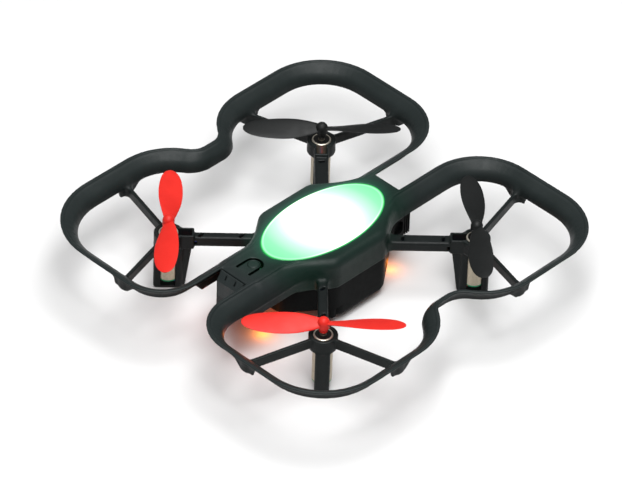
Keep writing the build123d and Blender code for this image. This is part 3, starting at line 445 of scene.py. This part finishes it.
def loop_outline(inset):
    """Plan of one loop's wall, moved in by an inset; the waist moves in less."""
    bend = tan(radians(WAIST_BEND / 2))
    wx = LOOP_WAIST_X - inset * WAIST_FLARE
    halves = [[(LOOP_INNER_X + inset, LOOP_END_Y - inset), (LOOP_OUTER_X - inset, LOOP_END_Y - inset),
               (LOOP_OUTER_X - inset, shoulder_y + inset * bend), (wx, waist_y + inset * bend)]
              for shoulder_y, waist_y in zip(LOOP_SHOULDER_Y, LOOP_WAIST_Y)]
    growth = (-inset, -inset, -inset, inset * WAIST_FLARE)
    front = [radius + change for radius, change in zip(FRONT_RADII, growth)]
    rear = [radius + change for radius, change in zip(REAR_RADII, growth)]
    return rounded_outline(halves[0] + [(x, -y) for x, y in reversed(halves[1])], front + rear[::-1])


def octagon(grow, radius):
    """Plan of the body, grown by an amount, with rounded corners."""
    ex, ey = BODY_END[0] + grow, BODY_END[1] + grow
    fx, fy = BODY_FLANK[0] + grow, BODY_FLANK[1] + grow * FLANK_SHIFT
    corners = [(ex, ey), (fx, fy), (fx, -fy), (ex, -ey), (-ex, -ey), (-fx, -fy), (-fx, fy), (-ex, ey)]
    return rounded_outline(corners, [radius] * len(corners))


class Plan:
    """Distances in the plane that every height shares."""
    def __init__(self, x, y):
        self.x, self.y = x, y
        self.loops = [outline_distance(loop_outline(i), x, y) for i in LEVELS]
        self.body = outline_distance(octagon(0, BODY_RADIUS), x, y)
        self.inner = outline_distance(octagon(-SHELL_WALL, ROOM_RADIUS), x, y)


def wall_face(plan, inset):
    """Distance in plan to the loop's outer face at an inset, negative inside the loop."""
    inset = np.clip(inset, LEVELS[0], LEVELS[-1])
    return sum(np.interp(inset, LEVELS, row) * d for row, d in zip(np.eye(len(LEVELS)), plan.loops))


def guard_distance(plan, z, inset, slope):
    """Flared wall of both loops with its lip, tabs and skirt."""
    x, y = plan.x, plan.y
    face = wall_face(plan, inset)
    thick = GUARD_WALL * np.minimum(np.sqrt(1 + slope ** 2), 1.45)
    across = slab(face, -thick, 0) / np.sqrt(1 + slope ** 2)
    lip = rounded(slab(face, -LIP_BAND, 0), slab(z, GUARD_TOP - LIP_BAND, GUARD_TOP), r=0.35)
    guard = smooth(rounded(across, slab(z, GUARD_LOW, GUARD_TOP - LIP), r=0.3), lip, 0.5)
    # tabs under the lower edge where the spokes arrive
    low_face = wall_face(plan, TAB_INSET)
    depth = GUARD_LOW - z
    for along, other in ((np.abs(y), x), (x, np.abs(y))):
        tab = rounded(slab(low_face, -GUARD_WALL, 0), TAB_SPAN[0] + depth - along,
                      along - TAB_SPAN[1] + depth * TAB_LEAN, slab(z, *TAB_Z), TAB_INNER - other, r=0.2)
        guard = smooth(guard, tab, 0.5)
    skirt_end = SKIRT_END_Y - (z - SKIRT_Z[0]) * SKIRT_RUN[0] / SKIRT_RUN[1]
    skirt = rounded(slab(x, *SKIRT_X), slab(z, *SKIRT_Z), skirt_end - y, y - SKIRT_FRONT_Y, r=0.3)
    return smooth(guard, skirt, 0.8), low_face


def frame_distance(plan, z):
    """Signed distance (mm) of the whole moulding at one height; x is taken as |x|."""
    x, y = plan.x, plan.y
    drop = np.clip(GUARD_TOP - LIP - z, 0, FLARE_DROP)
    inset = FLARE[0] * drop - FLARE[1] * drop ** 2
    slope = (FLARE[0] - 2 * FLARE[1] * drop) * (drop > 0)
    guard, low_face = guard_distance(plan, z, inset, slope)

    # body shell: rounded shoulders, blended into the loops' inner walls
    shoulder = rounded(plan.body, z - SHELL_TOP, r=SHOULDER_RADIUS)
    neck_half = LOOP_INNER_X + inset + NECK_MARGIN
    plate = rounded(x - neck_half, slab(z, ROOM_TOP, SHELL_TOP), slab(y, PLATE_END_Y, 0), r=0.15)
    nose_half = np.minimum(neck_half, NOSE_HALF_WIDTH)
    nose = rounded(x - nose_half, slab(z, NOSE_LOW_Z, SHELL_TOP), slab(y, 0, NOSE_END_Y), r=0.3)
    shell = smooth(np.minimum(shoulder, nose), plate, 0.6)
    blend = np.clip(np.minimum(y - NECK_BLEND_Y[0], NECK_BLEND_Y[1] - y) * NECK_BLEND_RATE, *NECK_BLEND)
    shell = smooth(shell, guard, blend)
    shell = np.minimum(np.maximum(shell, z - GUARD_TOP + 0.1), guard)
    shell = np.maximum(shell, PARTING - z)
    bay_walls = common(x.shape, x - BAY_WALL_X, slab(z, PARTING, BAY_WALL_TOP), slab(y, *BAY_Y))
    shell = np.minimum(shell, bay_walls)

    arms = np.full(x.shape, 1e3, np.float32)
    zones = [(side_y, width, (x - MOTOR) ** 2 + (side_y * y - MOTOR) ** 2 < ARM_ZONE ** 2)
             for side_y, width in ARM_ENDS]
    for side_y, width, near in zones:
        sub = arm_distance(x[near], y[near], z, side_y, width, low_face[near])
        arms[near] = np.minimum(arms[near], sub)
    whole = smooth(shell, arms, 2.2)

    # rooms inside the body, the nose and the battery bay
    room = np.maximum(plan.inner, z - ROOM_TOP)
    nose_room = common(x.shape, x - nose_half + SHELL_WALL, slab(z, 0, ROOM_TOP), slab(y, 0, NOSE_ROOM_END_Y))
    bay = common(x.shape, x - BAY_ROOM_X, slab(z, 0, ROOM_TOP), slab(y, -60, 0))
    whole = np.maximum(whole, -np.minimum(np.minimum(room, bay), nose_room))
    # oval opening for the lens
    lens = (np.sqrt((x / OPENING_RX) ** 2 + (y / OPENING_RY) ** 2) - 1) * OPENING_RX
    whole = np.maximum(whole, -np.maximum(lens, slab(z, 20, 40)))
    # hole for the power button's tongue and the slot round it
    round_end = np.hypot(x, y - KEY_CENTRE_Y) - HOLE_RADIUS
    tongue = np.where(y > KEY_CENTRE_Y, round_end, np.maximum(x - HOLE_RADIUS, HOLE_ROOT_Y - y))
    whole = np.maximum(whole, -np.maximum(tongue, slab(z, 26, 31)))
    # motor bores, wire ducts and slots
    for side_y, width, near in zones:
        whole[near] = np.maximum(whole[near], -arm_hollow(x[near], y[near], z, side_y, width))
    return whole


def arm_axes(x, y, side_y):
    """Distance along an arm from its motor's axis, and across it."""
    u = ((MOTOR - x) + (MOTOR - side_y * y)) / np.sqrt(2)
    v = ((x - MOTOR) - (side_y * y - MOTOR)) / np.sqrt(2)
    return u, v


def wedge(u, z, points):
    """Distance to a convex polygon in the upright plane, from its edges' half planes."""
    d = -1e9
    pts = np.array(points, float)
    area = np.sum(pts[:, 0] * np.roll(pts[:, 1], -1) - np.roll(pts[:, 0], -1) * pts[:, 1])
    if area < 0:
        pts = pts[::-1]
    for (ax, ay), (bx, by) in zip(pts, np.roll(pts, -1, axis=0)):
        n = hypot(bx - ax, by - ay)
        d = np.maximum(d, ((u - ax) * (by - ay) - (z - ay) * (bx - ax)) / n)
    return d


def arm_distance(x, y, z, side_y, width, low_face):
    """Collar, posts, fin, pocket, beam and two spokes of one arm, without their hollows."""
    u, v = arm_axes(x, y, side_y)
    r = np.hypot(u, v)
    collar_r = np.clip(POD_FOOT_RADIUS + (z - POD_BOTTOM), POD_FOOT_RADIUS, POD_RADIUS)
    collar = rounded(r - collar_r, slab(z, POD_BOTTOM, POD_TOP), r=0.25)
    posts = rounded(slab(u, -POD_RADIUS, POD_RADIUS), slab(v, -POST_HALF_WIDTH, POST_HALF_WIDTH),
                    slab(z, 0, POST_TOP), r=0.9)
    fin = rounded(wedge(u, z, FIN_OUTLINE), slab(v, -FIN_HALF_WIDTH, FIN_HALF_WIDTH), r=0.3)
    pocket = rounded(slab(u, *POCKET_U), slab(v, -POCKET_HALF_WIDTH, POCKET_HALF_WIDTH),
                     slab(z, POCKET_FLOOR, POD_TOP), r=0.4)
    beam = rounded(slab(u, *BEAM_U), slab(v, -width / 2, width / 2), slab(z, *BEAM_Z), r=0.9)
    pod = smooth(smooth(collar, posts, 0.5), smooth(fin, pocket, 0.4), 0.5)
    arm = smooth(pod, beam, 0.6)
    for turn in SPOKE_TURNS:
        c, s = cos(radians(turn)), sin(radians(turn))
        along, beside = u * c + v * s, v * c - u * s
        top = SPOKE_HIGH + np.clip((along - SPOKE_RISE_FROM) * 0.5, 0, SPOKE_RISE)
        spoke = rounded(slab(along, *SPOKE_REACH), slab(beside, -SPOKE_HALF_WIDTH, SPOKE_HALF_WIDTH),
                        SPOKE_LOW - z, z - top, low_face + 0.5, r=0.25)
        arm = smooth(arm, spoke, 0.7)
    return arm


def arm_hollow(x, y, z, side_y, width):
    """Can bore, wire ducts, pocket mouth, side slit and two top slots of one arm."""
    u, v = arm_axes(x, y, side_y)
    r = np.hypot(u, v)
    bore = np.maximum(r - BORE_RADIUS, FOOT_PLATE - z)
    duct_width = slab(v, -DUCT_HALF_WIDTH, DUCT_HALF_WIDTH)
    duct = np.maximum(wedge(u, z, DUCT_OUTLINE), duct_width)
    mouth = np.maximum.reduce([slab(u, *MOUTH_U), slab(v, -MOUTH_HALF_WIDTH, MOUTH_HALF_WIDTH),
                               MOUTH_FLOOR - z + 0 * u])
    duct_floor = np.where(u < DUCT_SILL_U, DUCT_SILL, DUCT_FLOOR)
    way = np.maximum.reduce([slab(u, *DUCT_U), duct_width, np.maximum(duct_floor - z, z - DUCT_TOP)])
    slit = np.maximum.reduce([slab(u, *SLIT_U), slab(v, -width, width),
                              slab(z, DUCT_SILL, DUCT_TOP) + 0 * u])
    hollow = np.minimum(np.minimum(bore, duct), np.minimum(mouth, np.minimum(way, slit)))
    turn = radians(TOP_SLOT_TURN[side_y])
    c, s = cos(turn), sin(turn)
    for slot_u in TOP_SLOTS:
        a, b = (u - slot_u) * c + v * s, v * c - (u - slot_u) * s
        slot = np.hypot(np.maximum(np.abs(a) - TOP_SLOT_HALF, 0), b) - TOP_SLOT_RADIUS
        hollow = np.minimum(hollow, np.maximum(slot, TOP_SLOT_FLOOR - z))
    return hollow


def stations(runs):
    """Grid stations: (from, to, step) runs joined end to end."""
    out = []
    for low, high, step in runs:
        n = max(1, int(round((high - low) / step)))
        out += list(np.linspace(low, high, n + 1)[:-1])
    return np.array(out + [runs[-1][1]])


def surface_net(field, axes):
    """Closed quad mesh of a distance field's zero surface: one point in each cell that it crosses."""
    inside = field < 0
    filled = inside.astype(np.int8)
    corners = [(i, j, k) for i in (0, 1) for j in (0, 1) for k in (0, 1)]
    nx, ny, nz = (size - 1 for size in field.shape)
    total = sum(filled[i:i + nx, j:j + ny, k:k + nz] for i, j, k in corners)
    cells = np.argwhere((total > 0) & (total < len(corners)))
    index = np.full(total.shape, -1, np.int32)
    index[tuple(cells.T)] = np.arange(len(cells))
    # each cell's point is the mean of the places where its edges cross the surface
    spot = np.zeros((len(cells), 3))
    hits = np.zeros(len(cells))
    for start in corners:
        for axis in range(3):
            if start[axis]:
                continue
            end = [1 if d == axis else start[d] for d in range(3)]
            ia, ib = cells + start, cells + end
            fa, fb = field[tuple(ia.T)], field[tuple(ib.T)]
            hit = (fa < 0) != (fb < 0)
            t = np.where(hit, fa / np.where(hit, fa - fb, 1), 0)
            for d in range(3):
                pa, pb = axes[d][ia[:, d]], axes[d][ib[:, d]]
                spot[:, d] += np.where(hit, pa + t * (pb - pa), 0)
            hits += hit
    spot /= hits[:, None]
    # each crossed grid edge gives one quad between the four cells round it
    quads = []
    for axis in range(3):
        low, high = [slice(None)] * 3, [slice(None)] * 3
        low[axis], high[axis] = slice(None, -1), slice(1, None)
        edges = np.argwhere(inside[tuple(low)] != inside[tuple(high)])
        p, q = [d for d in range(3) if d != axis]
        keep = (edges[:, p] > 0) & (edges[:, q] > 0)
        keep &= (edges[:, p] < field.shape[p] - 1) & (edges[:, q] < field.shape[q] - 1)
        edges = edges[keep]
        ring = []
        for dp, dq in ((-1, -1), (0, -1), (0, 0), (-1, 0)):
            cell = edges.copy()
            cell[:, p] += dp
            cell[:, q] += dq
            ring.append(index[tuple(cell.T)])
        quad = np.stack(ring, 1)
        flip = inside[tuple(edges.T)] == (axis == 1)
        quad[flip] = quad[flip][:, ::-1]
        quads.append(quad)
    return spot, np.concatenate(quads)


def moulding_mesh():
    """Points and quads of the moulding: its right half, mirrored to the left."""
    xs, ys, zs = (stations(runs) for runs in (X_RUNS, Y_RUNS, Z_RUNS))
    plan = Plan(*(grid.astype(np.float32) for grid in np.meshgrid(xs, ys, indexing="ij")))
    half = np.empty((len(xs), len(ys), len(zs)), np.float32)
    for k, z in enumerate(zs):
        half[:, :, k] = frame_distance(plan, float(z))
    return surface_net(np.concatenate([half[:0:-1], half]), (np.concatenate([-xs[:0:-1], xs]), ys, zs))


def new_piece(name, points, faces, material):
    """A smooth-shaded piece from points in mm."""
    mesh = bpy.data.meshes.new(name)
    mesh.from_pydata((np.array(points) * MM).tolist(), [], faces)
    mesh.polygons.foreach_set("use_smooth", [True] * len(mesh.polygons))
    piece = bpy.data.objects.new(name, mesh)
    bpy.context.scene.collection.objects.link(piece)
    piece.data.materials.append(material)
    return piece


FRAME_NODES = ["guard_left", "guard_right", "top_shell"] + [n for n in frame["nodes"] if n.startswith("arm_")]
net_points, net_quads = moulding_mesh()
moulding = new_piece("frame_moulding", net_points, net_quads.tolist(), MATERIALS["frame_plastic"])
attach(moulding, "airframe")
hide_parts(*FRAME_NODES)

# ---------------------------------------------------------------- the lit oval lens
LENS_STEPS, LENS_AROUND = 24, 192    # rings up the crown, points round each
GLOW_HALF_AXES = (27.0, 25.5)        # the glow's spread across and along the lens


def lens_material():
    """Frosted lens lit from inside: white over the LEDs, mint towards its ends, green at the rim, with a
    painted highlight just inside the rim.
    """
    material, tree, shader = new_material("light_lens", Roughness=0.28, Specular_IOR_Level=0.35)
    shader.inputs["Base Color"].default_value = (0.02, 0.10, 0.05, 1)
    glow = ramp(tree, ellipse_share(tree, *GLOW_HALF_AXES), (0.0, (2.2, 3.0, 2.4)), (0.46, (1.25, 1.5, 1.3)),
                (0.64, (0.70, 1.08, 0.84)), (0.84, (0.33, 1.0, 0.50)), (1.0, (0.24, 0.98, 0.40)))
    # painted highlight: a thin brighter ring just inside the rim stands in for the glint on the lens's raised
    # edge
    edge = ramp(tree, ellipse_share(tree, LENS_RX, LENS_RY), (0.942, (1, 1, 1)), (0.958, (1.75, 1.15, 1.5)),
                (0.970, (1.75, 1.15, 1.5)), (0.984, (0.35, 0.75, 0.35)), (0.997, (0.02, 0.26, 0.07)))
    tree.links.new(mixed(tree, 1.0, glow, edge, "MULTIPLY"), shader.inputs["Emission Color"])
    shader.inputs["Emission Strength"].default_value = 1.0
    bump(tree, shader, noise(tree, 3000, 2.0), 0.00001)
    return material


def lens_rings():
    """Growth, height and share of the lens's rings, from its flange under the shell up to its crown."""
    rings = [(1.0, 26.9, 1.0), (1.0, 27.85, 1.0), (0.0, 27.85, 1.0), (0.0, LENS_RIM_Z - 0.15, 1.0),
             (-0.05, LENS_RIM_Z - 0.04, 1.0), (-0.16, LENS_RIM_Z, 1.0)]
    for step in range(1, LENS_STEPS):
        share = 1 - step / LENS_STEPS
        rings.append((-0.16, LENS_RIM_Z + LENS_CROWN * (1 - share ** 2), share))
    return rings


def make_lens():
    """Crowned oval lens with a flange under the shell."""
    turn = np.linspace(0, 2 * pi, LENS_AROUND, endpoint=False)
    rings = lens_rings()
    points = [((LENS_RX + grow) * share * cos(t), (LENS_RY + grow) * share * sin(t), z)
              for grow, z, share in rings for t in turn]
    faces = []
    for ring in range(len(rings) - 1):
        a, b = ring * LENS_AROUND, (ring + 1) * LENS_AROUND
        faces += [(a + i, a + (i + 1) % LENS_AROUND, b + (i + 1) % LENS_AROUND, b + i)
                  for i in range(LENS_AROUND)]
    faces.append(tuple(range(LENS_AROUND))[::-1])
    faces.append(tuple(range((len(rings) - 1) * LENS_AROUND, len(rings) * LENS_AROUND)))
    lens = new_piece("oval_lens", points, faces, lens_material())
    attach(lens, "airframe")
    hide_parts("light_lens")


make_lens()


# ---------------------------------------------------------------- power button
KEY_EDGE = ((-0.12, 0.0), (-0.035, -0.035), (0.0, -0.12), (0.0, KEY_BOTTOM - KEY_TOP))
KEY_DOME = ((0.0, 0.05), (0.7, 0.04))   # radius and rise of the key's slight crown
GROOVE = ((1.85, 0.0), (1.91, -0.05), (1.97, -0.20), (2.11, -0.20), (2.17, -0.05), (2.21, 0.0))


def tongue_reach(turn):
    """Distance from the round end's centre to the tongue's outline in one direction."""
    if sin(turn) >= 0:
        return KEY_RADIUS
    to_side = KEY_RADIUS / max(abs(cos(turn)), 1e-6)
    to_root = (KEY_CENTRE_Y - KEY_ROOT_Y) / -sin(turn)
    return min(to_side, to_root)


def make_button():
    """Tongue with a round key marked by a groove, in rings from the key's middle out and down."""
    corner = np.arctan2(KEY_ROOT_Y - KEY_CENTRE_Y, KEY_RADIUS)
    turns = np.unique(np.concatenate([np.linspace(-pi, pi, 97)[:-1], [corner, -pi - corner]]))
    rings = (KEY_DOME[1], *GROOVE)
    points = [(0, KEY_CENTRE_Y, KEY_TOP + KEY_DOME[0][1])]
    for radius, drop in rings:
        points += [(radius * cos(t), KEY_CENTRE_Y + radius * sin(t), KEY_TOP + drop) for t in turns]
    for grow, drop in KEY_EDGE:
        reach = [tongue_reach(t) + grow for t in turns]
        points += [(r * cos(t), KEY_CENTRE_Y + r * sin(t), KEY_TOP + drop) for r, t in zip(reach, turns)]
    n = len(turns)
    faces = [(0, 1 + i, 1 + (i + 1) % n) for i in range(n)]
    count = len(rings) + len(KEY_EDGE)
    for ring in range(count - 1):
        a, b = 1 + ring * n, 1 + (ring + 1) * n
        faces += [(a + i, b + i, b + (i + 1) % n, a + (i + 1) % n) for i in range(n)]
    faces.append(tuple(range(1 + (count - 1) * n, 1 + count * n))[::-1])
    button = new_piece("button_tongue", points, faces, MATERIALS["frame_plastic"])
    button.data.polygons[len(faces) - 1].use_smooth = False
    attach(button, "power_button")
    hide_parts("power_button")


make_button()

# ---------------------------------------------------------------- materials of the carried-over nodes
NODE_MATERIALS = {"battery_case": "latch_plastic"}
for node in frame["record"]["subparts"]:
    slot = NODE_MATERIALS.get(node["node"], node.get("material_slot"))
    thing = frame["nodes"].get(node["node"])
    if thing is None or slot not in MATERIALS:
        continue
    for place in thing.material_slots:
        place.material = MATERIALS[slot]

# ---------------------------------------------------------------- floor, light and world
bpy.ops.mesh.primitive_plane_add(size=8, location=(0, 0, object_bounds()[0][2]))
floor = bpy.context.object
floor.name = "floor"
paper, _, paper_shader = new_material("floor_paper", Roughness=0.9, Specular_IOR_Level=0.1)
paper_shader.inputs["Base Color"].default_value = (0.64, 0.64, 0.64, 1)
floor.data.materials.append(paper)

world = bpy.data.worlds.new("studio")
world.use_nodes = True
world.node_tree.nodes["Background"].inputs["Color"].default_value = (1, 1, 1, 1)
world.node_tree.nodes["Background"].inputs["Strength"].default_value = 0.27
bpy.context.scene.world = world


SOFTBOX_DISTANCE, SOFTBOX_AIM = 1.4, Vector((0, 0, 0.02))
UNDER_LIGHT, TAIL_RED = (1.0, 0.24, 0.0), (1.0, 0.03, 0.01)


def softbox(name, azimuth, elevation, power, size):
    """A round soft light in a direction from the craft, aimed at it."""
    data = bpy.data.lights.new(name, "AREA")
    data.energy = power
    data.shape = "DISK"
    data.size = size
    a, e = radians(azimuth), radians(elevation)
    place = Vector((sin(a) * cos(e), -cos(a) * cos(e), sin(e))) * SOFTBOX_DISTANCE
    light = bpy.data.objects.new(name, data)
    light.location = place + SOFTBOX_AIM
    light.rotation_euler = (-place).to_track_quat("-Z", "Y").to_euler()
    bpy.context.scene.collection.objects.link(light)


def glow_light(name, place, power, colour):
    """A tiny coloured light at a place in mm."""
    data = bpy.data.lights.new(name, "POINT")
    data.energy = power
    data.color = colour
    data.shadow_soft_size = 0.0015
    light = bpy.data.objects.new(name, data)
    light.location = Vector(place) * MM
    bpy.context.scene.collection.objects.link(light)


softbox("top_softbox", AZIMUTH + 90, 84, 18, 1.0)
softbox("near_softbox", AZIMUTH, 60, 16.5, 0.8)
# the under-lights' glow on the floor under the tail and the nose
glow_light("tail_glow", (4.6, -33.0, 3), 0.0018, UNDER_LIGHT)
glow_light("nose_glow", (10.5, 24.5, 3), 0.0015, UNDER_LIGHT)
# red spill from the tail light on the loops' inner walls
glow_light("red_spill_left", (-13.0, -43, 13), 0.0008, TAIL_RED)
glow_light("red_spill_right", (13.0, -43, 13), 0.0008, TAIL_RED)
make_camera()
bpy.context.scene.view_settings.view_transform = "Standard"
